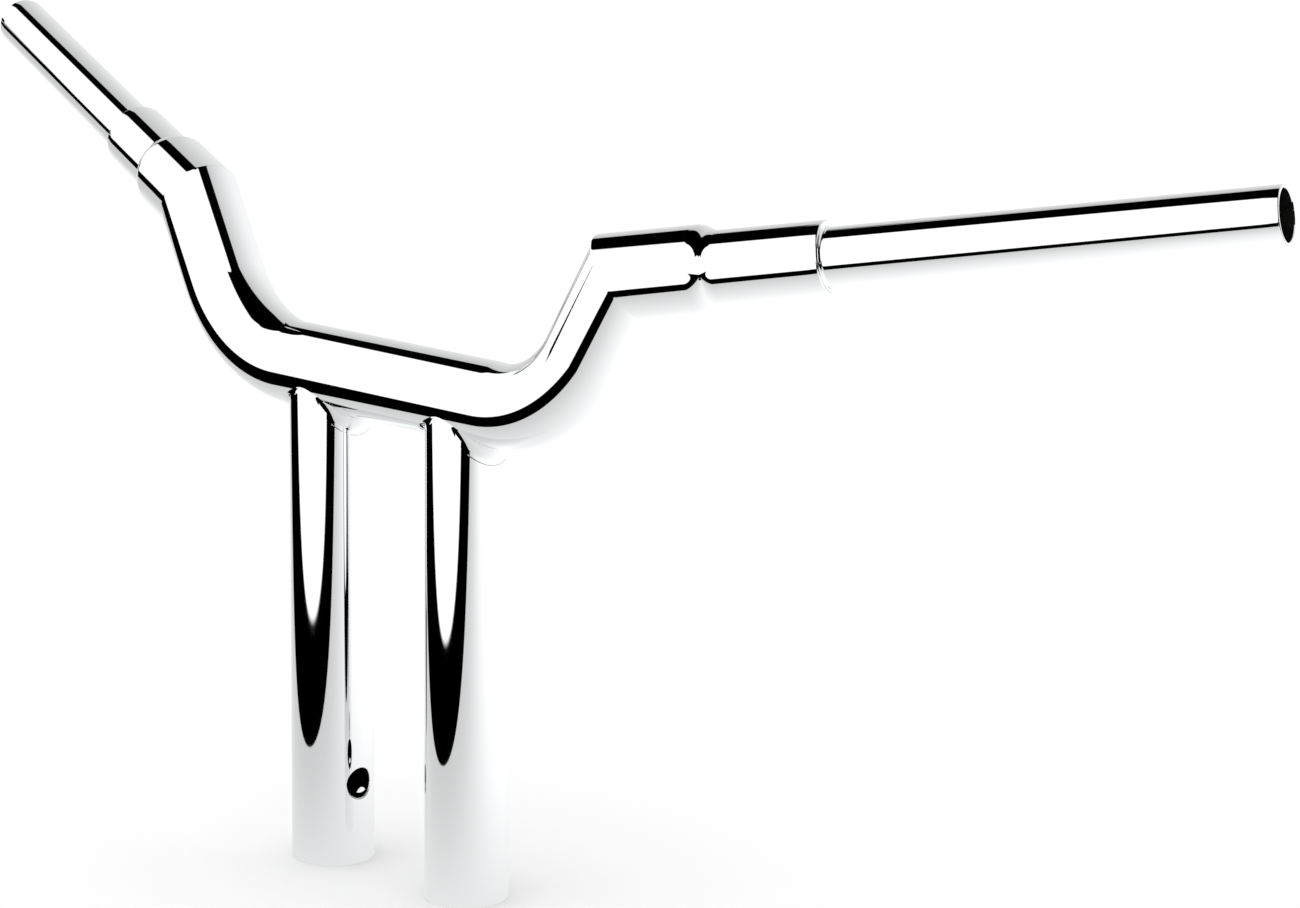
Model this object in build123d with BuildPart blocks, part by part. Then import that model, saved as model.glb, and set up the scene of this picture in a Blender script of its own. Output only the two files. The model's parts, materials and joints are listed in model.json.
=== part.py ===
from build123d import *
from math import acos, cos, degrees, radians, sin, sqrt
import os

# One-piece welded motorcycle handlebar with integral risers, in millimetres.
# Origin: midway between the two riser axes, on the face that the risers stand on.
# +X runs along the bar to the right-hand grip, +Y points back to the rider, +Z is up.
# Each right-hand piece is modelled, and its left-hand twin is its mirror image in the YZ plane.

# ---- Tube stock ----
fat_radius = 38.1 / 2          # 1.5 in tube: crossbar, arms and risers
fat_wall = 3.05                # 0.120 in
sleeve_radius = 31.75 / 2      # 1.25 in tube
sleeve_wall = 3.05
grip_radius = 25.4 / 2         # 1 in tube, which takes standard grips and controls
grip_wall = 1.65               # 0.065 in

# ---- Bar layout ----
riser_spacing = 88.9           # 3.5 in between the two riser bolts
crossbar_height = 228.0        # crossbar centreline above the mounting face
bend_vertex_x = 100.2          # where the crossbar and leg centrelines would meet
bend_radius = 61.0             # centreline radius of the two bends
leg_angle = 60.4               # rise of each leg from the crossbar, in the crossbar's plane
leg_length = 76.3              # bend vertex to mitre vertex
lean_angle = 2.9               # the crossbar's plane leans back by this much
arm_sweep = 22.4               # arms sweep back to the rider, seen from above
arm_climb = 9.2                # and climb by this much

# ---- Distances along an arm from its mitre vertex ----
shoulder_start = 34.9          # where the fat tube starts to round down to the sleeve
sleeve_end = 94.1
grip_end = 290.7
sleeve_overlap = 22.0          # length of sleeve hidden inside the arm tube
grip_overlap = 25.0            # length of grip tube hidden inside the sleeve
spigot_radius = 12.5           # the hidden end is turned down, to slip into the sleeve

# ---- Joint details ----
shoulder_round = 12.2          # convex radius ground on the end of the arm tube
shoulder_fillet = 7.5          # concave radius of the weld in front of it
sleeve_edge_round = 1.0
sleeve_weld_leg = 0.9
grip_edge_round = 0.5
grip_bore_chamfer = 0.35
mitre_gap = 1.6                # root gap that the mitre weld fills
saddle_weld_radius = 7.0
saddle_weld_bite = 0.15        # the bead's face meets each tube at a slight angle, not quite tangent
saddle_weld_root = 2.5         # how far its sections reach into the tubes before they are cut away
saddle_reach = 78.0            # the bead fades out this far round from the crossbar's direction
saddle_steps = 6
saddle_dressing = 0.2          # taken off the riser's radius, so its coped top has no feather edge

# ---- Riser foot and wiring holes ----
bung_length = 28.0
bung_radius = 15.9
bolt_tap_radius = 10.72 / 2    # 1/2-13 tapping size
thread_chamfer = 0.5
foot_chamfer = 0.5
bung_weld_leg = 2.0
riser_hole_radius = 7.0        # where the wires leave the riser
riser_hole_height = 38.1
pass_hole_radius = 8.0         # in the crossbar wall, above each riser
slot_length = 20.0             # where the wires enter, in each sleeve
slot_width = 11.0
slot_centre = 58.0
slot_turn = 30.0               # the slot faces down, turned this far to the rear

# ---- Derived places ----
fat_bore = fat_radius - fat_wall
sleeve_bore = sleeve_radius - sleeve_wall
grip_bore = grip_radius - grip_wall
riser_radius = fat_radius - saddle_dressing
riser_x = riser_spacing / 2
overrun = 14.0                 # extra tube that is cut away again at each mitre

lean = radians(lean_angle)
bar_plane = Plane(origin=(0, 0, crossbar_height), x_dir=(1, 0, 0), z_dir=(0, -cos(lean), sin(lean)))
leg_run = cos(radians(leg_angle))
leg_rise = sin(radians(leg_angle))
leg_direction = Vector(leg_run, leg_rise * sin(lean), leg_rise * cos(lean))
mitre_point = Vector(bend_vertex_x, 0, crossbar_height) + leg_direction * leg_length

climb = radians(arm_climb)
sweep_back = radians(arm_sweep)
arm_direction = Vector(cos(climb) * cos(sweep_back), cos(climb) * sin(sweep_back), sin(climb))
arm_axis = Axis(mitre_point, arm_direction)
slot_facing = Vector(0, sin(radians(slot_turn)), -cos(radians(slot_turn)))
arm_side = arm_direction.cross(slot_facing).normalized()
arm_plane = Plane(origin=mitre_point, x_dir=arm_side, z_dir=arm_direction)
arm_profile_plane = Plane(origin=mitre_point, x_dir=arm_direction, z_dir=arm_side)
leg_plane = Plane(origin=mitre_point, x_dir=(0, 1, 0), z_dir=leg_direction)

mitre_normal = (leg_direction + arm_direction).normalized()
mitre_plane = Plane(origin=mitre_point, z_dir=mitre_normal)
leg_cut = mitre_plane.offset(-mitre_gap / 2)
arm_cut = mitre_plane.offset(mitre_gap / 2)
left_leg_cut = Plane(
    origin=(-leg_cut.origin.X, leg_cut.origin.Y, leg_cut.origin.Z),
    z_dir=(-mitre_normal.X, mitre_normal.Y, mitre_normal.Z),
)

# The shoulder is an ogee: a convex arc, then a concave one with the same slope where they meet.
shoulder_slope = degrees(acos(1 - (fat_radius - sleeve_radius) / (shoulder_round + shoulder_fillet)))
slope_sine = sin(radians(shoulder_slope))
shoulder_end = shoulder_start + shoulder_round * slope_sine
shoulder_lip = fat_radius - shoulder_round * (1 - cos(radians(shoulder_slope)))
shoulder_weld_end = shoulder_end + shoulder_fillet * slope_sine
grip_start = sleeve_end + sleeve_weld_leg


def bar_points(extra):
    """Centreline corners of the crossbar, its legs run past their mitres by extra."""
    reach = leg_length + extra
    tip = (bend_vertex_x + reach * leg_run, reach * leg_rise)
    return [(-tip[0], tip[1]), (-bend_vertex_x, 0), (bend_vertex_x, 0), tip]


def save(builder, node):
    """Label the piece and write its STEP file."""
    builder.part.label = node
    export_step(builder.part, f"parts/{node}.step")


# ---- Crossbar: one bent tube with a leg at each end ----
with BuildPart() as crossbar:
    with BuildLine(bar_plane) as bar_line:
        FilletPolyline(*bar_points(overrun), radius=bend_radius)
    with BuildSketch(Plane(origin=bar_line.line @ 0, x_dir=bar_plane.z_dir, z_dir=bar_line.line % 0)):
        Circle(fat_radius)
        Circle(fat_bore, mode=Mode.SUBTRACT)
    sweep(path=bar_line.line)
    split(bisect_by=leg_cut, keep=Keep.BOTTOM)
    split(bisect_by=left_leg_cut, keep=Keep.BOTTOM)
    with Locations((riser_x, 0, crossbar_height), (-riser_x, 0, crossbar_height)):
        Cylinder(
            pass_hole_radius, 2 * fat_radius,
            align=(Align.CENTER, Align.CENTER, Align.MAX), mode=Mode.SUBTRACT,
        )

# The same bar as a solid rod, used only to cut and fill the saddles.
with BuildPart() as bar_rod:
    with BuildLine(bar_plane) as rod_line:
        FilletPolyline(*bar_points(0), radius=bend_radius)
    with BuildSketch(Plane(origin=rod_line.line @ 0, x_dir=bar_plane.z_dir, z_dir=rod_line.line % 0)):
        Circle(fat_radius)
    sweep(path=rod_line.line)

# ---- Riser: upright tube, coped at the top to sit on the crossbar ----
with BuildPart() as riser_right:
    with BuildSketch(Plane(origin=(riser_x, 0, 0))):
        Circle(riser_radius)
        Circle(fat_bore, mode=Mode.SUBTRACT)
    extrude(amount=crossbar_height)
    feet = riser_right.edges().filter_by(GeomType.CIRCLE).group_by(Axis.Z)[0].sort_by(SortBy.RADIUS)
    chamfer(feet[-1], foot_chamfer)
    chamfer(feet[0], bung_weld_leg)
    add(bar_rod.part, mode=Mode.SUBTRACT)
    with Locations(Plane(origin=(riser_x, 0, riser_hole_height), z_dir=(-1, 0, 0))):
        Cylinder(
            riser_hole_radius, 2 * fat_radius,
            align=(Align.CENTER, Align.CENTER, Align.MIN), mode=Mode.SUBTRACT,
        )

# ---- Threaded bung in the foot of the riser, and the weld that holds it ----
with BuildPart() as bung_right:
    with BuildSketch(Plane(origin=(riser_x, 0, 0))):
        Circle(bung_radius)
        Circle(bolt_tap_radius, mode=Mode.SUBTRACT)
    extrude(amount=bung_length)
    mouths = bung_right.edges().filter_by(GeomType.CIRCLE).filter_by(
        lambda edge: edge.radius < bung_radius
    )
    chamfer(mouths, thread_chamfer)

with BuildPart() as bung_weld_right:
    with BuildSketch(Plane.XZ):
        with BuildLine():
            Polyline(
                (riser_x + bung_radius, 0),
                (riser_x + fat_bore + bung_weld_leg, 0),
                (riser_x + fat_bore, bung_weld_leg),
                (riser_x + bung_radius, bung_weld_leg),
                close=True,
            )
        make_face()
    revolve(axis=Axis((riser_x, 0, 0), (0, 0, 1)))

# ---- Saddle weld: a concave bead down each side of the joint between riser and crossbar ----
def saddle_section(angle):
    """Plane and opening angle of the bead's section at this angle round the riser."""
    outward = Vector(cos(radians(angle)), sin(radians(angle)), 0)
    ball_y = (riser_radius + saddle_weld_radius) * outward.Y
    ball_drop = sqrt((fat_radius + saddle_weld_radius) ** 2 - ball_y ** 2)
    from_bar = Vector(0, ball_y, -ball_drop).normalized()
    centre = outward * (riser_radius + saddle_weld_radius) + Vector(riser_x, 0, crossbar_height - ball_drop)
    section_plane = Plane(origin=(centre.X, centre.Y, centre.Z), x_dir=outward, z_dir=outward.cross(from_bar))
    return section_plane, outward.get_angle(from_bar)


with BuildPart() as riser_rod:
    with BuildSketch(Plane(origin=(riser_x, 0, 0))):
        Circle(riser_radius)
    extrude(amount=crossbar_height)

with BuildPart() as saddle_weld_right:
    for side in (0, 180):
        for step in range(-saddle_steps, saddle_steps + 1):
            section_plane, opening = saddle_section(side + step * saddle_reach / saddle_steps)
            arc_radius = saddle_weld_radius + saddle_weld_bite
            root = arc_radius + saddle_weld_root
            with BuildSketch(section_plane):
                with BuildLine():
                    CenterArc((0, 0), arc_radius, start_angle=180, arc_size=opening)
                    PolarLine((-arc_radius, 0), root - arc_radius, 180)
                    Polyline(
                        (-root, 0),
                        Vector(-root / cos(radians(opening / 2)), 0).rotate(Axis.Z, opening / 2),
                        Vector(-root, 0).rotate(Axis.Z, opening),
                        Vector(-arc_radius, 0).rotate(Axis.Z, opening),
                    )
                make_face()
        loft()
    add(riser_rod.part, mode=Mode.SUBTRACT)
    add(bar_rod.part, mode=Mode.SUBTRACT)

# ---- Arm tube: fat tube from the mitre to the shoulder ----
with BuildPart() as arm_tube_right:
    with BuildSketch(arm_profile_plane):
        with BuildLine():
            Polyline(
                (shoulder_end, shoulder_lip),
                (shoulder_end, fat_bore),
                (-overrun, fat_bore),
                (-overrun, fat_radius),
                (shoulder_start, fat_radius),
            )
            CenterArc(
                (shoulder_start, fat_radius - shoulder_round), shoulder_round,
                start_angle=90, arc_size=-shoulder_slope,
            )
        make_face()
    revolve(axis=arm_axis)
    split(bisect_by=arm_cut, keep=Keep.TOP)

# ---- Shoulder weld: the concave half of the ogee, between arm tube and sleeve ----
with BuildPart() as shoulder_weld_right:
    with BuildSketch(arm_profile_plane):
        with BuildLine():
            Polyline(
                (shoulder_weld_end, sleeve_radius),
                (shoulder_end, sleeve_radius),
                (shoulder_end, shoulder_lip),
            )
            CenterArc(
                (shoulder_weld_end, sleeve_radius + shoulder_fillet), shoulder_fillet,
                start_angle=-90, arc_size=-shoulder_slope,
            )
        make_face()
    revolve(axis=arm_axis)

# ---- Sleeve: middle tube, with a slot for the switch wires on its underside ----
with BuildPart() as sleeve_right:
    with BuildSketch(arm_plane.offset(shoulder_end - sleeve_overlap)):
        Circle(sleeve_radius)
        Circle(sleeve_bore, mode=Mode.SUBTRACT)
    extrude(amount=sleeve_end - shoulder_end + sleeve_overlap)
    sleeve_rims = sleeve_right.edges().filter_by(GeomType.CIRCLE)
    outer_rims = sleeve_rims.filter_by(lambda edge: edge.radius > sleeve_bore + 1)
    fillet(outer_rims.sort_by(Axis.X)[-1], sleeve_edge_round)
    with BuildSketch(Plane(
        origin=arm_plane.from_local_coords((0, 0, slot_centre)),
        x_dir=arm_direction, z_dir=arm_side.cross(arm_direction),
    )):
        SlotOverall(slot_length, slot_width)
    extrude(amount=2 * sleeve_radius, mode=Mode.SUBTRACT)

# ---- Sleeve weld: a small fillet where the grip tube leaves the sleeve ----
with BuildPart() as sleeve_weld_right:
    with BuildSketch(arm_profile_plane):
        with BuildLine():
            Polyline(
                (grip_start, grip_radius),
                (grip_start, spigot_radius),
                (sleeve_end, spigot_radius),
                (sleeve_end, grip_radius + sleeve_weld_leg),
            )
            CenterArc(
                (grip_start, grip_radius + sleeve_weld_leg), sleeve_weld_leg,
                start_angle=180, arc_size=90,
            )
        make_face()
    revolve(axis=arm_axis)

# ---- Grip tube: thin outer tube, open at the end, with a spigot that slips into the sleeve ----
with BuildPart() as grip_tube_right:
    with BuildSketch(arm_plane.offset(grip_start)):
        Circle(grip_radius)
        Circle(grip_bore, mode=Mode.SUBTRACT)
    extrude(amount=grip_end - grip_start)
    with BuildSketch(arm_plane.offset(sleeve_end - grip_overlap)):
        Circle(spigot_radius)
        Circle(grip_bore, mode=Mode.SUBTRACT)
    extrude(amount=grip_start - sleeve_end + grip_overlap)
    end_face = grip_tube_right.faces().sort_by(arm_axis)[-1]
    chamfer(end_face.edges().sort_by(SortBy.RADIUS)[0], grip_bore_chamfer)
    end_face = grip_tube_right.faces().sort_by(arm_axis)[-1]
    fillet(end_face.edges().sort_by(SortBy.RADIUS)[-1], grip_edge_round)

# ---- Mitre weld: fills the root gap between leg and arm, ground flush outside ----
with BuildPart() as leg_stub:
    with BuildSketch(leg_plane.offset(-overrun)):
        Circle(fat_radius)
        Circle(fat_bore, mode=Mode.SUBTRACT)
    extrude(amount=2 * overrun)
    split(bisect_by=mitre_plane, keep=Keep.BOTTOM)
    split(bisect_by=leg_cut, keep=Keep.TOP)

with BuildPart() as arm_stub:
    with BuildSketch(arm_plane.offset(-overrun)):
        Circle(fat_radius)
        Circle(fat_bore, mode=Mode.SUBTRACT)
    extrude(amount=2 * overrun)
    split(bisect_by=mitre_plane, keep=Keep.TOP)
    split(bisect_by=arm_cut, keep=Keep.BOTTOM)

with BuildPart() as mitre_weld_right:
    add(leg_stub.part)
    add(arm_stub.part)

# ---- Write every piece, with each right-hand one mirrored for the left ----
right_hand_pieces = {
    "riser": riser_right,
    "riser_bung": bung_right,
    "bung_weld": bung_weld_right,
    "saddle_weld": saddle_weld_right,
    "mitre_weld": mitre_weld_right,
    "arm_tube": arm_tube_right,
    "shoulder_weld": shoulder_weld_right,
    "sleeve": sleeve_right,
    "sleeve_weld": sleeve_weld_right,
    "grip_tube": grip_tube_right,
}
os.makedirs("parts", exist_ok=True)
save(crossbar, "crossbar")
for name, right_hand in right_hand_pieces.items():
    with BuildPart() as left_hand:
        mirror(right_hand.part, about=Plane.YZ)
    save(right_hand, f"{name}_right")
    save(left_hand, f"{name}_left")
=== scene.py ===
import json
from math import acos, ceil, cos, pi, radians, sin, sqrt, tan

import bmesh
import bpy
from mathutils import Matrix, Vector


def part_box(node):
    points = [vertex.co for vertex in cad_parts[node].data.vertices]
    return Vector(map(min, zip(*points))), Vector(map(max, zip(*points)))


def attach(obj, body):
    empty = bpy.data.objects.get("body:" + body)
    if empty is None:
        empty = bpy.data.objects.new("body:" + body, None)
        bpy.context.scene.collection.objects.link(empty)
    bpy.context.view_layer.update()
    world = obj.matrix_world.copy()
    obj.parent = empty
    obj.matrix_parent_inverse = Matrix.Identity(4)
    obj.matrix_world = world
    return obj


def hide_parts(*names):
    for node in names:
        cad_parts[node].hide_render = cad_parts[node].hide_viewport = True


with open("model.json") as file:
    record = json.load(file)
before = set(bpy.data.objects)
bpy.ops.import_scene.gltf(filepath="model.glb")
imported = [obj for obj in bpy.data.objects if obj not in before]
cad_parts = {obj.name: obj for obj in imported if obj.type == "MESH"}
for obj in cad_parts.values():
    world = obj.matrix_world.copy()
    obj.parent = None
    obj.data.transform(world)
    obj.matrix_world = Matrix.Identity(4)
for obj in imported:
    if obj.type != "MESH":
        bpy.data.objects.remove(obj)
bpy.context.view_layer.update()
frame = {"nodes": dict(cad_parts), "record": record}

# Chromed one-piece handlebar. Every length is in metres, in the frame of the CAD model:
# +X to the right-hand grip, +Y back to the rider, +Z up the risers, z = 0 at their feet.
# Right-hand pieces are built first, and each is mirrored in the YZ plane for the left.

MM = 0.001
INCH = 25.4 * MM

# ---------------------------------------------------------------- places and sizes from the frame
mounts = {mount["name"]: mount for mount in frame["record"]["mounts"]}
slots = {slot["slot"]: slot for slot in frame["record"]["materials"]}
arm_direction = Vector(mounts["grip_right"]["axis"]).normalized()
grip_middle = Vector(mounts["grip_right"]["pos_m"])
riser_x = mounts["riser_thread_right"]["pos_m"][0]
bolt_tap_radius = mounts["riser_thread_right"]["dims"]["r_mm"] * MM

bar_low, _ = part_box("crossbar")
fat_radius = -bar_low.y
bar_height = bar_low.z + fat_radius
riser_low, riser_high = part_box("riser_right")
riser_radius = (riser_high.x - riser_low.x) / 2
bung_low, bung_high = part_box("riser_bung_right")
bung_radius = (bung_high.x - bung_low.x) / 2
bung_length = bung_high.z
bung_weld_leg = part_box("bung_weld_right")[1].z
riser_plain_top = bar_height - 1.5 * fat_radius    # the riser is a plain tube up to here

lean = radians(2.9)                    # the crossbar and its legs lean back
leg_angle = radians(60.4)
bend_radius = 61.0 * MM
bar_centre = Vector((0, 0, bar_height))
bar_up = Vector((0, sin(lean), cos(lean)))
bar_front = Vector((0, -cos(lean), sin(lean)))
leg_direction = Vector((cos(leg_angle), 0, 0)) + bar_up * sin(leg_angle)
to_mitre = (bar_centre - grip_middle).dot(bar_front) / arm_direction.dot(bar_front)
mitre_point = grip_middle + arm_direction * to_mitre
bend_vertex_x = mitre_point.x - (mitre_point - bar_centre).dot(bar_up) / tan(leg_angle)
bend_run = bend_radius * tan(leg_angle / 2)
mitre_normal = (leg_direction + arm_direction).normalized()
mitre_gap = 1.6 * MM                   # filled by the mitre weld


def along_arm(node):
    """Start, end, smallest and largest radius of a node about the right arm's axis."""
    places = [vertex.co - mitre_point for vertex in frame["nodes"][node].data.vertices]
    runs = [place.dot(arm_direction) for place in places]
    radii = [place.cross(arm_direction).length for place in places]
    return min(runs), max(runs), min(radii), max(radii)


_, _, fat_bore, _ = along_arm("arm_tube_right")
_, shoulder_weld_end, _, _ = along_arm("shoulder_weld_right")
sleeve_start, sleeve_end, sleeve_bore, sleeve_radius = along_arm("sleeve_right")
_, grip_start, spigot_radius, _ = along_arm("sleeve_weld_right")
spigot_start, grip_end, grip_bore, grip_radius = along_arm("grip_tube_right")

shoulder_round = 12.2 * MM             # convex radius of the shoulder
shoulder_fillet = 7.5 * MM             # concave radius of the weld in front of it
shoulder_slope = acos(1 - (fat_radius - sleeve_radius) / (shoulder_round + shoulder_fillet))
shoulder_end = shoulder_weld_end - shoulder_fillet * sin(shoulder_slope)
shoulder_start = shoulder_end - shoulder_round * sin(shoulder_slope)
sleeve_edge_round = 1.0 * MM
grip_edge_round = 0.5 * MM
grip_bore_chamfer = 0.35 * MM
foot_chamfer = 0.5 * MM
bolt_radius = INCH / 4                 # half-inch bolt
saddle_ball = 7.0 * MM                 # radius of the ball that rolls along the saddle
saddle_tip = 8.2 * MM                  # how far below the bar's axis the saddle ends at the front
hole_height = 38.1 * MM
hole_radius = 7.0 * MM
slot_centre = 58.0 * MM
slot_length = 20.0 * MM
slot_width = 11.0 * MM
slot_turn = radians(30.0)
pass_hole_radius = 8.0 * MM

SEGMENTS = 256                         # round every tube
HOLE_SEGMENTS = 96                     # round every hole in a tube's wall
STEP = 6.0 * MM                        # between rings on a straight stretch
SHARP_TURN = radians(32)               # an edge that turns further than this stays sharp


# ---------------------------------------------------------------- mesh building
def new_piece(name, vertices, faces, face_slots, materials):
    """A smooth-shaded mesh object, with normals facing out and its sharp edges marked."""
    mesh = bpy.data.meshes.new(name)
    mesh.from_pydata([tuple(vertex) for vertex in vertices], [], faces)
    mesh.polygons.foreach_set("material_index", face_slots)
    build = bmesh.new()
    build.from_mesh(mesh)
    bmesh.ops.recalc_face_normals(build, faces=build.faces)
    build.to_mesh(mesh)
    build.free()
    piece = bpy.data.objects.new(name, mesh)
    bpy.context.scene.collection.objects.link(piece)
    for material in materials:
        mesh.materials.append(material)
    finish_edges(mesh)
    return piece


def finish_edges(mesh):
    """Smooth faces, with every sharp edge kept."""
    mesh.polygons.foreach_set("use_smooth", [True] * len(mesh.polygons))
    mesh.set_sharp_from_angle(angle=SHARP_TURN)
    mesh.update()


def ring_piece(name, outside, inside, materials):
    """A closed solid from rings: along its outside, then back along its inside.

    The inside gets the second material, if there is one.
    """
    rings = outside + inside
    count = len(rings[0])
    faces = []
    face_slots = []
    for i in range(len(rings)):
        j = (i + 1) % len(rings)
        lined = len(outside) <= i < len(rings) - 1
        for k in range(count):
            after = (k + 1) % count
            faces.append((i * count + k, i * count + after, j * count + after, j * count + k))
            face_slots.append(1 if lined and len(materials) > 1 else 0)
    return new_piece(name, [point for ring in rings for point in ring], faces, face_slots, materials)


def mirror_piece(piece, name):
    """The left-hand twin of a right-hand piece."""
    mesh = piece.data.copy()
    build = bmesh.new()
    build.from_mesh(mesh)
    for vertex in build.verts:
        vertex.co.x = -vertex.co.x
    bmesh.ops.reverse_faces(build, faces=build.faces)
    build.to_mesh(mesh)
    build.free()
    twin = bpy.data.objects.new(name, mesh)
    bpy.context.scene.collection.objects.link(twin)
    finish_edges(mesh)
    return twin


def cut(piece, cutter):
    """Take the cutter's volume out of the piece."""
    modifier = piece.modifiers.new("cut", "BOOLEAN")
    modifier.object = cutter
    modifier.operation = "DIFFERENCE"
    modifier.solver = "EXACT"
    bpy.context.view_layer.update()
    shaped = piece.evaluated_get(bpy.context.evaluated_depsgraph_get())
    mesh = bpy.data.meshes.new_from_object(shaped)
    piece.modifiers.clear()
    piece.data = mesh
    finish_edges(mesh)
    bpy.data.objects.remove(cutter)


def place_piece(piece, node):
    """The piece stands for that CAD node, and rides on the one body."""
    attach(piece, "root")
    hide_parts(node)


def place_pair(piece, stem):
    """Place a right-hand piece and its mirrored left-hand twin."""
    twin = mirror_piece(piece, f"polished_{stem}_left")
    place_piece(piece, f"{stem}_right")
    place_piece(twin, f"{stem}_left")


def evenly(start, end, step=STEP):
    """Numbers from start to end, both included, no further apart than step."""
    count = max(1, ceil(abs(end - start) / step))
    return [start + (end - start) * i / count for i in range(count + 1)]


def ring_round(centre, side, other, radius):
    """Points round a circle with these two perpendicular directions."""
    turns = [2 * pi * k / SEGMENTS for k in range(SEGMENTS)]
    return [centre + (side * cos(turn) + other * sin(turn)) * radius for turn in turns]


def onto_plane(ring, direction, plane_point, normal):
    """The ring's points slid along direction until they lie on the plane."""
    reach = direction.dot(normal)
    return [point + direction * ((plane_point - point).dot(normal) / reach) for point in ring]


# Directions square to the right arm: the slot faces down, turned to the rear.
slot_facing = Vector((0, sin(slot_turn), -cos(slot_turn)))
arm_side = arm_direction.cross(slot_facing).normalized()
arm_other = arm_side.cross(arm_direction)


def arm_ring(run, radius):
    return ring_round(mitre_point + arm_direction * run, arm_side, arm_other, radius)


def arm_arc(run, radius, bend, start, sweep, steps=24):
    """Rings along an arc of the arm's profile.

    run and radius place the arc's centre, bend is the arc's own radius, and the angles are
    measured from the arm's direction.
    """
    turns = [start + sweep * i / steps for i in range(steps + 1)]
    return [arm_ring(run + bend * cos(turn), radius + bend * sin(turn)) for turn in turns]


def arm_straight(start, end, radius):
    return [arm_ring(run, radius) for run in evenly(start, end)]


def plug_faces(ring_count, count):
    """Faces of a closed plug made of rings with this many points each."""
    last = (ring_count - 1) * count
    faces = [tuple(range(count)), tuple(reversed(range(last, last + count)))]
    for i in range(ring_count - 1):
        for k in range(count):
            after = (k + 1) % count
            faces.append((i * count + k, (i + 1) * count + k, (i + 1) * count + after, i * count + after))
    return faces


def plug_piece(rings, material):
    """A cutter from rings, which carries its own material."""
    vertices = [point for ring in rings for point in ring]
    faces = plug_faces(len(rings), len(rings[0]))
    return new_piece("cutter", vertices, faces, [0] * len(faces), [material])


def rimmed_cutter(axis_point, outward, along, tube_radius, outline, depth):
    """A plug for a hole with a rounded rim in a tube's wall.

    axis_point is on the tube's axis, and outline(grow) gives (along, across) points.
    """
    rim = 0.7 * MM
    above_wall = 1.0 * MM
    first_angle = 6
    angle_step = 12
    across = outward.cross(along)
    profile = [(rim * (1 - sin(radians(first_angle))), above_wall)]
    for angle in range(first_angle, 91, angle_step):
        profile.append((rim * (1 - sin(radians(angle))), -rim * (1 - cos(radians(angle)))))
    profile.append((0, -depth))
    rings = []
    for grow, lift in profile:
        ring = []
        for a, c in outline(grow):
            height = sqrt(tube_radius ** 2 - c ** 2) + lift
            ring.append(axis_point + along * a + across * c + outward * height)
        rings.append(ring)
    return plug_piece(rings, chrome)


# ---------------------------------------------------------------- sums in a node tree
class Value:
    """A number that a node tree works out for each ray, so that sums can be written as sums."""

    def __init__(self, tree, socket):
        self.tree = tree
        self.socket = socket

    def math(self, operation, *others):
        node = self.tree.nodes.new("ShaderNodeMath")
        node.operation = operation
        for socket, number in zip(node.inputs, (self,) + others):
            feed(self.tree, socket, number)
        return Value(self.tree, node.outputs[0])

    def __add__(self, other):
        return self.math("ADD", other)

    def __sub__(self, other):
        return self.math("SUBTRACT", other)

    def __mul__(self, other):
        return self.math("MULTIPLY", other)

    def __truediv__(self, other):
        return self.math("DIVIDE", other)

    def __rsub__(self, other):
        return self * -1 + other

    __radd__ = __add__
    __rmul__ = __mul__


def feed(tree, socket, number):
    """Give a socket a plain number, or link it to a worked-out one."""
    if isinstance(number, Value):
        tree.links.new(number.socket, socket)
    else:
        socket.default_value = number


def smaller(first, second):
    return first.math("MINIMUM", second)


def larger(first, second):
    return first.math("MAXIMUM", second)


def is_over(number, limit):
    """1 where the number is over the limit, else 0."""
    return number.math("GREATER_THAN", limit)


def is_under(number, limit):
    """1 where the number is under the limit, else 0."""
    return number.math("LESS_THAN", limit)


def is_past(number, edge, softness):
    """0 where the number is below the edge and 1 above it, with a soft change between."""
    node = number.tree.nodes.new("ShaderNodeMapRange")
    node.interpolation_type = "SMOOTHSTEP"
    feed(number.tree, node.inputs["Value"], number - edge)
    node.inputs["From Min"].default_value = -softness
    node.inputs["From Max"].default_value = softness
    return Value(number.tree, node.outputs["Result"])


def blend(share, low, high):
    """low where the share is 0, high where it is 1."""
    return low + share * (high - low)


def line_at(place, slope, middle):
    """A straight edge's height at this place: its height in the middle, and its slope."""
    return place * slope + middle


def split(tree, vector):
    """The three parts of a vector."""
    node = tree.nodes.new("ShaderNodeSeparateXYZ")
    tree.links.new(vector, node.inputs[0])
    return [Value(tree, node.outputs[letter]) for letter in "XYZ"]


def mirrored_only(tree):
    """1 for what the chrome mirrors, 0 for everything else."""
    path = tree.nodes.new("ShaderNodeLightPath")
    return Value(tree, path.outputs["Is Glossy Ray"])


# ---------------------------------------------------------------- materials
def node_material(name):
    material = bpy.data.materials.new(name)
    material.use_nodes = True
    return material, material.node_tree, material.node_tree.nodes["Principled BSDF"]


def place_noise(tree, cells, detail):
    """Noise fixed to the object, with this many cells to the metre."""
    where = tree.nodes.new("ShaderNodeTexCoord")
    noise = tree.nodes.new("ShaderNodeTexNoise")
    noise.inputs["Scale"].default_value = cells
    noise.inputs["Detail"].default_value = detail
    tree.links.new(where.outputs["Object"], noise.inputs["Vector"])
    return noise.outputs["Fac"]


def vary_roughness(tree, surface, pattern, low, high):
    """Let the roughness follow a pattern, most of which lies between 0.3 and 0.7."""
    change = tree.nodes.new("ShaderNodeMapRange")
    change.inputs["From Min"].default_value = 0.3
    change.inputs["From Max"].default_value = 0.7
    change.inputs["To Min"].default_value = low
    change.inputs["To Max"].default_value = high
    tree.links.new(pattern, change.inputs["Value"])
    tree.links.new(change.outputs["Result"], surface.inputs["Roughness"])


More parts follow.
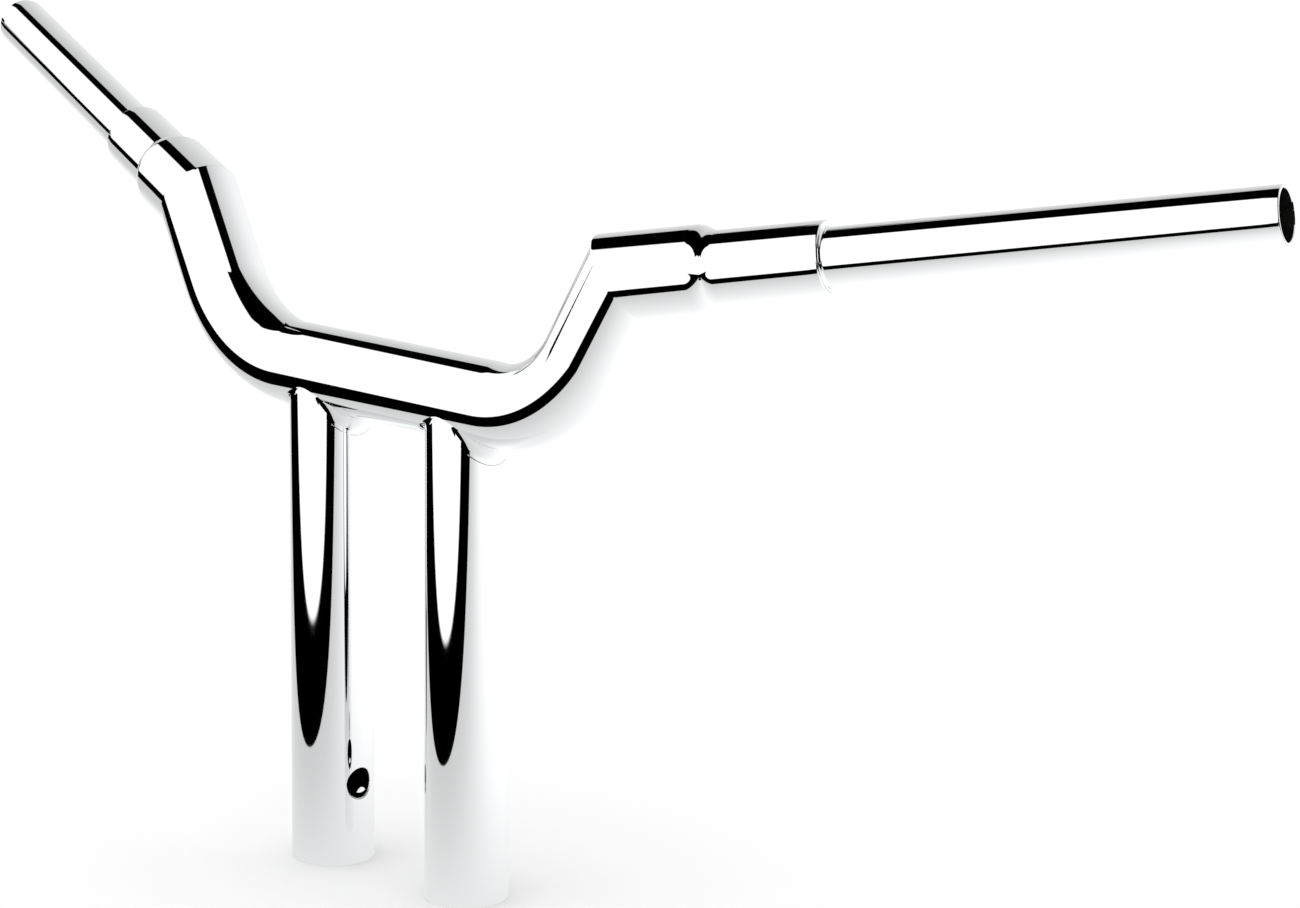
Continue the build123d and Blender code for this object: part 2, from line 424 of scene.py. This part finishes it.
def add_bump(tree, surface, pattern, strength, height):
    """Let the pattern raise the surface by up to this height."""
    bump = tree.nodes.new("ShaderNodeBump")
    bump.inputs["Strength"].default_value = strength
    bump.inputs["Distance"].default_value = height
    tree.links.new(pattern, bump.inputs["Height"])
    tree.links.new(bump.outputs["Normal"], surface.inputs["Normal"])


def slot_colour(slot, red=1.0, green=1.0, blue=1.0):
    """A slot's base colour, each part of it made this much brighter."""
    base = slots[slot]["base_color"]
    return (base[0] * red, base[1] * green, base[2] * blue, 1)


def chrome_material():
    """Mirror chrome: faint haze in patches, and a trace of waviness left from polishing."""
    material, tree, surface = node_material("mirror_chrome")
    surface.inputs["Metallic"].default_value = 1.0
    haze = place_noise(tree, cells=35, detail=3)
    vary_roughness(tree, surface, haze, low=0.012, high=0.035)
    tone = tree.nodes.new("ShaderNodeMix")
    tone.data_type = "RGBA"
    tone.inputs["A"].default_value = slot_colour("chrome", 1.08, 1.08, 1.08)
    tone.inputs["B"].default_value = slot_colour("chrome", 1.13, 1.125, 1.115)
    tree.links.new(place_noise(tree, cells=9, detail=2), tone.inputs["Factor"])
    tree.links.new(tone.outputs["Result"], surface.inputs["Base Color"])
    add_bump(tree, surface, place_noise(tree, cells=60, detail=1), strength=0.02, height=0.05 * MM)
    return material


def bore_material():
    """Inside of the tubes: dark drawn steel with scale."""
    material, tree, surface = node_material("bore_steel")
    surface.inputs["Metallic"].default_value = 0.85
    scale = place_noise(tree, cells=420, detail=6)
    tone = tree.nodes.new("ShaderNodeValToRGB")
    tone.color_ramp.elements[0].color = (0.006, 0.006, 0.006, 1)
    tone.color_ramp.elements[1].color = (0.05, 0.048, 0.045, 1)
    tree.links.new(scale, tone.inputs["Fac"])
    tree.links.new(tone.outputs["Color"], surface.inputs["Base Color"])
    vary_roughness(tree, surface, scale, low=0.35, high=0.6)
    add_bump(tree, surface, scale, strength=0.4, height=0.05 * MM)
    return material


def turned_material():
    """Bung: steel with the fine rings that a lathe tool leaves, round each riser's axis."""
    material, tree, surface = node_material("turned_steel")
    surface.inputs["Metallic"].default_value = 1.0
    surface.inputs["Base Color"].default_value = slot_colour("machined_steel")
    where = tree.nodes.new("ShaderNodeTexCoord")
    x, y, _ = split(tree, where.outputs["Object"])
    flat = tree.nodes.new("ShaderNodeCombineXYZ")
    feed(tree, flat.inputs["X"], x.math("ABSOLUTE") - riser_x)
    feed(tree, flat.inputs["Y"], y)
    rings = tree.nodes.new("ShaderNodeTexWave")
    rings.wave_type = "RINGS"
    rings.rings_direction = "SPHERICAL"
    rings.inputs["Scale"].default_value = 900
    rings.inputs["Distortion"].default_value = 0.4
    tree.links.new(flat.outputs[0], rings.inputs["Vector"])
    vary_roughness(tree, surface, rings.outputs["Fac"], low=0.2, high=0.36)
    add_bump(tree, surface, rings.outputs["Fac"], strength=0.25, height=0.03 * MM)
    return material


chrome = chrome_material()
bore_steel = bore_material()
turned_steel = turned_material()
tube_finish = [chrome, bore_steel]


# ---------------------------------------------------------------- crossbar
def bar_sections():
    """Centres and directions along the right half of the crossbar, short of its mitre."""
    straight_end = bend_vertex_x - bend_run
    sections = [(bar_centre + Vector((x, 0, 0)), Vector((1, 0, 0))) for x in evenly(0, straight_end)]
    bend_centre = bar_centre + Vector((straight_end, 0, 0)) + bar_up * bend_radius
    steps = 60
    for i in range(1, steps + 1):
        turn = leg_angle * i / steps
        place = bend_centre + (Vector((sin(turn), 0, 0)) - bar_up * cos(turn)) * bend_radius
        sections.append((place, Vector((cos(turn), 0, 0)) + bar_up * sin(turn)))
    leg_start = sections[-1][0]
    clear = fat_radius * tan(acos(leg_direction.dot(mitre_normal))) + mitre_gap
    leg_run = (mitre_point - leg_start).length - clear
    sections += [(leg_start + leg_direction * run, leg_direction) for run in evenly(0, leg_run)[1:]]
    return sections


def bar_rings(radius):
    """Rings of the whole crossbar from its left mitre to its right one."""
    right = [ring_round(place, bar_front.cross(way), bar_front, radius) for place, way in bar_sections()]
    edge = mitre_point - mitre_normal * (mitre_gap / 2)
    right.append(onto_plane(right[-1], leg_direction, edge, mitre_normal))
    left = [[Vector((-point.x, point.y, point.z)) for point in ring] for ring in right[1:]]
    return left[::-1] + right


def pass_hole_ring(x, z):
    """A ring of the hole that lets the wires from the crossbar into a riser."""
    ring = ring_round(Vector((x, 0, z)), Vector((1, 0, 0)), Vector((0, 1, 0)), pass_hole_radius)
    return ring[::4]


def build_crossbar():
    bar = ring_piece("polished_crossbar", bar_rings(fat_radius), bar_rings(fat_bore)[::-1], tube_finish)
    for x in (riser_x, -riser_x):
        heights = (bar_height - 2 * fat_radius, bar_height)
        cut(bar, plug_piece([pass_hole_ring(x, z) for z in heights], bore_steel))
    place_piece(bar, "crossbar")


# ---------------------------------------------------------------- risers, saddles and feet
def bar_rise(x):
    """How far the crossbar's centreline has climbed at x."""
    beyond = max(0.0, x - (bend_vertex_x - bend_run))
    return bend_radius - sqrt(bend_radius ** 2 - beyond ** 2)


def cope_height(x, y):
    """Height of the crossbar's underside over this point."""
    return bar_height + bar_rise(x) - sqrt(fat_radius ** 2 - y ** 2)


def riser_ring(radius, height):
    return ring_round(Vector((riser_x, 0, height)), Vector((1, 0, 0)), Vector((0, 1, 0)), radius)


def saddle_ball_centre(turn):
    """Centre of the ball that touches the riser on this side, and the bar's centreline above it."""
    ball = Vector((riser_x, 0, 0)) + Vector((cos(turn), sin(turn), 0)) * (riser_radius + saddle_ball)
    bar_axis = Vector((ball.x, 0, bar_height + bar_rise(ball.x)))
    ball.z = bar_axis.z - sqrt(((fat_radius + saddle_ball) * cos(turn)) ** 2 + saddle_tip ** 2)
    return ball, bar_axis


def cope_ring(radius, share):
    """A ring part of the way from the riser's plain stretch to its coped end.

    The outside of the coped end stops where the weld starts.
    """
    ring = riser_ring(radius, riser_plain_top)
    for k in range(SEGMENTS):
        weld_foot = saddle_ball_centre(2 * pi * k / SEGMENTS)[0].z
        end = cope_height(ring[k].x, ring[k].y)
        if radius == riser_radius:
            end = min(end, weld_foot)
        ring[k].z = riser_plain_top + (end - riser_plain_top) * share
    return ring


def hole_outline(grow):
    """The round wire hole."""
    turns = [2 * pi * k / HOLE_SEGMENTS for k in range(HOLE_SEGMENTS)]
    return [((hole_radius + grow) * cos(turn), (hole_radius + grow) * sin(turn)) for turn in turns]


def build_riser():
    outer_steps = 12
    inner_steps = 6
    foot_bore = fat_bore + bung_weld_leg
    outside = [riser_ring(riser_radius - foot_chamfer, 0)]
    outside += [riser_ring(riser_radius, z) for z in evenly(foot_chamfer, riser_plain_top)]
    outside += [cope_ring(riser_radius, i / outer_steps) for i in range(1, outer_steps + 1)]
    inside = [cope_ring(fat_bore, i / inner_steps) for i in range(inner_steps, 0, -1)]
    inside += [riser_ring(fat_bore, z) for z in evenly(riser_plain_top, bung_weld_leg)]
    inside += [riser_ring(foot_bore, 0)]
    riser = ring_piece("polished_riser_right", outside, inside, tube_finish)
    hole_axis_point = Vector((riser_x, 0, hole_height))
    plug = rimmed_cutter(
        hole_axis_point, Vector((-1, 0, 0)), Vector((0, 0, 1)), riser_radius, hole_outline, 2 * hole_radius
    )
    cut(riser, plug)
    place_pair(riser, "riser")


def build_saddle():
    """The weld round the top of the riser: a concave band that a rolling ball would leave."""
    steps = 18
    rings = [[] for _ in range(steps + 1)]
    corner = []
    sink = 0.02 * MM                   # the weld's edges lie this far inside the tubes
    tuck = 0.3 * MM                    # and its hidden corner stays this far inside its upper edge
    for k in range(SEGMENTS):
        turn = 2 * pi * k / SEGMENTS
        outward = Vector((cos(turn), sin(turn), 0))
        ball, bar_axis = saddle_ball_centre(turn)
        to_riser = -outward * (saddle_ball + sink)
        to_bar = bar_axis - ball
        to_bar = to_bar.normalized() * (to_bar.length - fat_radius + sink)
        opening = to_riser.angle(to_bar)
        for i in range(steps + 1):
            share = i / steps
            way = to_riser.normalized() * sin((1 - share) * opening)
            way += to_bar.normalized() * sin(share * opening)
            size = to_riser.length + (to_bar.length - to_riser.length) * share
            rings[i].append(ball + way.normalized() * size)
        bar_touch = ball + to_bar
        reach = Vector((bar_touch.x - riser_x, bar_touch.y)).length
        base = Vector((riser_x, 0, 0)) + outward * min(riser_radius - sink, reach - tuck)
        base.z = min(cope_height(base.x, base.y) + sink, bar_touch.z)
        corner.append(base)
    saddle = ring_piece("polished_saddle_weld_right", rings, [corner], [chrome])
    place_pair(saddle, "saddle_weld")


def thread_radius(turn, height):
    """Radius of the bolt thread in the bung: 1/2-13, cut outwards from the tapping size."""
    pitch = INCH / 13
    depth = bolt_radius - bolt_tap_radius
    phase = (height / pitch - turn / (2 * pi)) % 1.0
    from_root = abs(phase - 0.5) * pitch
    flat = pitch / 16
    flank = depth * tan(radians(30))
    return bolt_tap_radius + depth * min(1.0, max(0.0, 1 - (from_root - flat) / flank))


def bung_bore_ring(height, mouth):
    """A ring of the threaded bore, opened out to mouth where its chamfer is wider."""
    ring = []
    for k in range(SEGMENTS):
        turn = 2 * pi * k / SEGMENTS
        radius = max(thread_radius(turn, height), mouth)
        ring.append(Vector((riser_x + radius * cos(turn), radius * sin(turn), height)))
    return ring


def build_bung():
    chamfer = 0.9 * MM
    mouth = bolt_radius + 0.15 * MM
    thread_step = 0.14 * MM
    outside = [riser_ring(bung_radius, z) for z in evenly(0, bung_length)]
    inside = []
    for height in evenly(bung_length, 0, thread_step):
        from_end = min(height, bung_length - height)
        opening = mouth - from_end if from_end < chamfer else bolt_tap_radius
        inside.append(bung_bore_ring(height, opening))
    bung = ring_piece("turned_riser_bung_right", outside, inside, [turned_steel])
    twin = mirror_piece(bung, "turned_riser_bung_left")
    place_piece(bung, "riser_bung_right")
    place_piece(twin, "riser_bung_left")


def build_bung_weld():
    """A rippled bead between bung and riser, flush with the foot."""
    ripples = 54
    ripple_share = 0.3                 # of the crown's height
    lag = 1.8                          # how far a ripple's edges trail its middle, in radians
    crown = 0.35 * MM
    outer = fat_bore + bung_weld_leg
    outside = []
    steps = 10
    for i in range(steps + 1):
        share = i / steps
        ring = riser_ring(bung_radius + (outer - bung_radius) * share, 0)
        for k in range(SEGMENTS):
            turn = 2 * pi * k / SEGMENTS
            off_middle = (2 * share - 1) ** 2
            ripple = 0.5 + 0.5 * cos(ripples * turn + lag * off_middle)
            dip = (1 - ripple_share) * off_middle
            ring[k].z = crown * (dip + ripple_share * ripple * (1 - off_middle))
        outside.append(ring)
    inside = [riser_ring(fat_bore, bung_weld_leg), riser_ring(bung_radius, bung_weld_leg)]
    weld = ring_piece("polished_bung_weld_right", outside, inside, [chrome])
    place_pair(weld, "bung_weld")


# ---------------------------------------------------------------- arms
def mitre_ring(radius, offset, direction):
    """Where a tube of this radius meets a plane parallel to the mitre."""
    side = leg_direction.cross(arm_direction).normalized()
    tall = mitre_normal.cross(side)
    steep = 1 / leg_direction.dot(mitre_normal)
    ring = []
    for k in range(SEGMENTS):
        turn = 2 * pi * k / SEGMENTS
        on_plane = mitre_point + side * (radius * cos(turn)) + tall * (radius * steep * sin(turn))
        ring.append(on_plane + direction * (offset * steep))
    return ring


def build_mitre_weld():
    """The weld that fills the mitre, dressed to a small round that runs into both tubes."""
    steps = 12
    round_half = 0.3 * MM

    def band(radius):
        before = mitre_ring(radius, -round_half, leg_direction)
        crease = mitre_ring(radius, 0, leg_direction)
        after = mitre_ring(radius, round_half, arm_direction)
        rings = [mitre_ring(radius, -mitre_gap / 2, leg_direction)]
        for i in range(steps + 1):
            t = i / steps
            rings.append([
                a * (1 - t) ** 2 + b * (2 * t * (1 - t)) + c * t ** 2
                for a, b, c in zip(before, crease, after)
            ])
        rings.append(mitre_ring(radius, mitre_gap / 2, arm_direction))
        return rings

    weld = ring_piece("polished_mitre_weld_right", band(fat_radius), band(fat_bore)[::-1], tube_finish)
    place_pair(weld, "mitre_weld")


def build_arm_tube():
    clear = fat_radius * tan(acos(arm_direction.dot(mitre_normal))) + mitre_gap
    edge = mitre_point + mitre_normal * (mitre_gap / 2)
    outside = arm_straight(clear, shoulder_start, fat_radius)
    outside.insert(0, onto_plane(outside[0], arm_direction, edge, mitre_normal))
    outside += arm_arc(
        shoulder_start, fat_radius - shoulder_round, shoulder_round, pi / 2, -shoulder_slope
    )[1:]
    inside = arm_straight(shoulder_end, clear, fat_bore)
    inside.append(onto_plane(inside[-1], arm_direction, edge, mitre_normal))
    tube = ring_piece("polished_arm_tube_right", outside, inside, tube_finish)
    place_pair(tube, "arm_tube")


def build_shoulder_weld():
    outside = arm_arc(
        shoulder_weld_end, sleeve_radius + shoulder_fillet, shoulder_fillet,
        -pi / 2 - shoulder_slope, shoulder_slope,
    )
    corner = arm_ring(shoulder_end, sleeve_radius)
    weld = ring_piece("polished_shoulder_weld_right", outside, [corner], [chrome])
    place_pair(weld, "shoulder_weld")


def slot_outline(grow):
    """The wire slot: two half circles joined by straight sides."""
    half = slot_width / 2 + grow
    straight = (slot_length - slot_width) / 2
    points = []
    for k in range(HOLE_SEGMENTS):
        turn = 2 * pi * (k + 0.5) / HOLE_SEGMENTS
        shift = straight if cos(turn) > 0 else -straight
        points.append((half * cos(turn) + shift, half * sin(turn)))
    return points


def build_sleeve():
    round_start = sleeve_end - sleeve_edge_round
    outside = arm_straight(sleeve_start, round_start, sleeve_radius)
    outside += arm_arc(
        round_start, sleeve_radius - sleeve_edge_round, sleeve_edge_round, pi / 2, -pi / 2, 12
    )[1:]
    inside = arm_straight(sleeve_end, sleeve_start, sleeve_bore)
    sleeve = ring_piece("polished_sleeve_right", outside, inside, tube_finish)
    slot_place = mitre_point + arm_direction * slot_centre
    cut(sleeve, rimmed_cutter(
        slot_place, arm_other.normalized(), arm_direction, sleeve_radius, slot_outline, slot_width
    ))
    place_pair(sleeve, "sleeve")


def build_sleeve_weld():
    leg = grip_start - sleeve_end
    outside = arm_arc(grip_start, grip_radius + leg, leg, pi, pi / 2, 12)
    inside = [arm_ring(grip_start, spigot_radius), arm_ring(sleeve_end, spigot_radius)]
    weld = ring_piece("polished_sleeve_weld_right", outside, inside, [chrome])
    place_pair(weld, "sleeve_weld")


def build_grip_tube():
    outside = arm_straight(spigot_start, grip_start, spigot_radius)
    round_start = grip_end - grip_edge_round
    outside += arm_straight(grip_start, round_start, grip_radius)
    outside += arm_arc(
        round_start, grip_radius - grip_edge_round, grip_edge_round, pi / 2, -pi / 2, 10
    )[1:]
    outside.append(arm_ring(grip_end, grip_bore + grip_bore_chamfer))
    inside = arm_straight(grip_end - grip_bore_chamfer, spigot_start, grip_bore)
    grip = ring_piece("polished_grip_tube_right", outside, inside, tube_finish)
    place_pair(grip, "grip_tube")


build_crossbar()
build_riser()
build_saddle()
build_bung()
build_bung_weld()
build_mitre_weld()
build_arm_tube()
build_shoulder_weld()
build_sleeve()
build_sleeve_weld()
build_grip_tube()


# ---------------------------------------------------------------- studio
WHITE = 1.12               # brightness of the white dome and cards that the chrome mirrors
BLACK = 0.0
TABLE_NEAR = 0.62          # painted glow of the table in front of the bar, seen only in the chrome
TABLE_FAR = 1.1            # and behind it
CHROME_SHINE = 0.95        # roughly what the chrome sends back
ROOM_LIGHT = 1.08          # light on everything that isn't a mirror
BRIGHTEST_SHADE = 1.05
TINY = 0.0001              # keeps a divisor away from zero


def side_card(x, y):
    """1 in the directions of a low black card, which stands out beyond the right-hand grip."""
    first_turn = radians(-25)
    last_turn = radians(80)
    softness = 0.02
    slope = y / larger(x, TINY)
    return is_over(x, 0.0) * is_past(slope, tan(first_turn), softness) * is_under(slope, tan(last_turn))


def far_post(x, y, z):
    """1 in the directions of a short dark post, far beyond the left-hand grip."""
    turn_to_back = radians(11.5)
    turn_to_front = radians(1.0)
    top = radians(4.8)
    softness = 0.006
    slope = y / smaller(x, -TINY)
    before_back = is_past(slope, -tan(turn_to_back), softness)
    past_front = is_past(slope * -1, tan(turn_to_front), softness)
    return is_under(x, 0.0) * before_back * past_front * is_under(z, sin(top))


def roof_front(across):
    """Front edge of the black strip overhead: slanted at the left, bowed in the middle."""
    slanted = line_at(across, slope=-0.86, middle=-0.79)
    flatter = line_at(across, slope=-0.29, middle=-0.08)
    left_level = -0.32
    left = slanted.math("SMOOTH_MIN", flatter, 0.06).math("SMOOTH_MAX", left_level, 0.03)
    bow_middle = -0.15
    bow_level = -0.38
    bow_depth = 0.33
    off_middle = across - bow_middle
    bowed = bow_level - off_middle * off_middle * bow_depth
    right_level = -0.45
    right_start = 0.87
    right = blend(is_past(across, right_start, 0.01), bowed, right_level)
    bow_start = -0.35
    return blend(is_past(across, bow_start, 0.1), left, right)


def roof_back(across):
    """Back edge of the black strip overhead, with a step in it at the far left."""
    right_level = 0.52
    near = line_at(across, slope=-0.255, middle=0.40).math("SMOOTH_MIN", right_level, 0.05)
    steep = line_at(across, slope=-0.21, middle=0.475)
    far = smaller(steep, line_at(across, slope=-0.075, middle=0.60))
    step_place = -1.0
    return blend(is_past(across, step_place, 0.012), far, near)


def mirrored_room(x, y, z):
    """What the chrome mirrors in each direction: dome, roof strip, backdrop, side card and post."""
    edge_softness = 0.02
    height = larger(z, TINY)
    across = x / height
    depth = y / height
    past_front = is_past(depth, roof_front(across), edge_softness)
    past_back = is_past(depth, roof_back(across), edge_softness)
    shade = 0.649 + x * 0.126 + (y * 0.352 + z * -0.28)
    backdrop = smaller(shade, BRIGHTEST_SHADE) * (1 / CHROME_SHINE)
    roof = blend(past_back, blend(past_front, WHITE, BLACK), backdrop)
    card_top = 0.13
    over_card = x * -0.494 + (y * 0.044 + z * 0.868)
    roof = blend(side_card(x, y) * is_under(over_card, card_top), roof, BLACK)
    roof = blend(far_post(x, y, z), roof, BLACK)
    low_backdrop = smaller(shade + 0.05, BRIGHTEST_SHADE) * (1 / CHROME_SHINE)
    below = blend(is_past(y, 0.0, 0.05), WHITE, low_backdrop)
    return blend(is_over(z, 0.0), below, roof)


def build_world():
    """Even light for the floor, and a studio that is seen only in the chrome."""
    world = bpy.data.worlds.new("studio")
    bpy.context.scene.world = world
    world.use_nodes = True
    tree = world.node_tree
    light = tree.nodes["Background"]
    light.inputs["Color"].default_value = (1, 1, 1, 1)
    where = tree.nodes.new("ShaderNodeTexCoord")
    x, y, z = split(tree, where.outputs["Generated"])
    feed(tree, light.inputs["Strength"], blend(mirrored_only(tree), ROOM_LIGHT, mirrored_room(x, y, z)))


def table_edge(sideways):
    """How far out the table's front edge is: straight, with a corner at the left."""
    front_edge = 0.23
    corner = line_at(sideways, slope=-2.3, middle=-2.19)
    left_edge = smaller(corner, line_at(sideways, slope=-0.1, middle=0.40))
    return larger(left_edge, front_edge)


def apron_edge(sideways):
    """How far out the black apron ends: a curve that straightens at the far left."""
    nearest_place = 0.26
    nearest_edge = 0.455
    curve = 2.22
    slope = 1.5
    along = (sideways - nearest_place) * slope
    curved = (along * along + curve ** 2).math("SQRT") + (nearest_edge - curve)
    straight_from = 3.0
    straight = larger(line_at(sideways, slope=-1.149, middle=0.29), straight_from)
    return blend(is_under(sideways, 0.0), curved, smaller(curved, straight))


def far_card(sideways, outward):
    """1 where the floor shows a white card, far off to the left."""
    start = -10.5
    low_slope = -0.325
    high_slope = -0.848
    between = is_over(outward, sideways * low_slope) * is_under(outward, sideways * high_slope)
    return is_under(sideways, start) * between


def painted_table_glow(x, y):
    """The floor's painted glow, seen only in the chrome's reflections: a table with a bent edge, and an
    apron beyond it.
    """
    edge_turn = radians(19.3)          # the table's edge is turned this far from the crossbar
    card_distance = 1.3
    outward = x * -sin(edge_turn) + y * -cos(edge_turn)
    sideways = x * cos(edge_turn) + y * -sin(edge_turn)
    table = blend(is_past(outward * -1, 0.025, 0.325), TABLE_NEAR, TABLE_FAR)
    tone = blend(is_past(outward, table_edge(sideways), 0.002), table, BLACK)
    tone = blend(is_past(outward, apron_edge(sideways), 0.012), tone, WHITE)
    distance = (x * x + y * y).math("SQRT")
    tone = blend(side_card(x, y) * is_over(distance, card_distance), tone, BLACK)
    return blend(far_card(sideways, outward), tone, WHITE)


def painted_shade_under_feet(x, y):
    """0 under the two riser feet, 1 elsewhere: painted shade, which blacks out the floor's glow under the
    feet.
    """
    from_axis = x.math("ABSOLUTE") - riser_x
    distance = (from_axis * from_axis + y * y).math("SQRT")
    return is_over(distance, bung_radius)


def build_floor():
    """Plain pale floor, which glows with a painted table only in the chrome's reflections."""
    half = 20.0
    corners = [(-half, -half, 0), (half, -half, 0), (half, half, 0), (-half, half, 0)]
    mesh = bpy.data.meshes.new("floor")
    mesh.from_pydata(corners, [], [(0, 1, 2, 3)])
    floor = bpy.data.objects.new("floor", mesh)
    bpy.context.scene.collection.objects.link(floor)
    material, tree, matte = node_material("pale_floor")
    matte.inputs["Base Color"].default_value = (0.97, 0.97, 0.97, 1)
    matte.inputs["Roughness"].default_value = 0.9
    matte.inputs["Specular IOR Level"].default_value = 0.0
    where = tree.nodes.new("ShaderNodeNewGeometry")
    x, y, _ = split(tree, where.outputs["Position"])
    # painted reflection: for glossy rays the floor is not lit but glows with a painted table, apron and
    # cards
    glow = tree.nodes.new("ShaderNodeEmission")
    # painted shade: the floor's glow is cut to black under the riser feet
    feed(tree, glow.inputs["Strength"], painted_table_glow(x, y) * painted_shade_under_feet(x, y))
    mix = tree.nodes.new("ShaderNodeMixShader")
    feed(tree, mix.inputs["Fac"], mirrored_only(tree))
    tree.links.new(matte.outputs[0], mix.inputs[1])
    tree.links.new(glow.outputs[0], mix.inputs[2])
    tree.links.new(mix.outputs[0], tree.nodes["Material Output"].inputs["Surface"])
    mesh.materials.append(material)


def build_camera():
    """A long lens, right of the bar and a little above it."""
    azimuth = radians(44.369)
    elevation = radians(12.236)
    roll = radians(0.488)
    distance = 2.21158
    target = Vector((0.08094, 0.07828, 0.19705))
    camera = bpy.data.objects.new("camera", bpy.data.cameras.new("camera"))
    bpy.context.scene.collection.objects.link(camera)
    camera.data.sensor_width = 36.0
    camera.data.lens = 137.21
    back = Vector((sin(azimuth) * cos(elevation), -cos(azimuth) * cos(elevation), sin(elevation)))
    camera.location = target + back * distance
    turned = back.to_track_quat("Z", "Y").to_matrix() @ Matrix.Rotation(roll, 3, "Z")
    camera.rotation_euler = turned.to_euler()
    bpy.context.scene.camera = camera


build_world()
build_floor()
build_camera()
bpy.context.scene.view_settings.view_transform = "Standard"
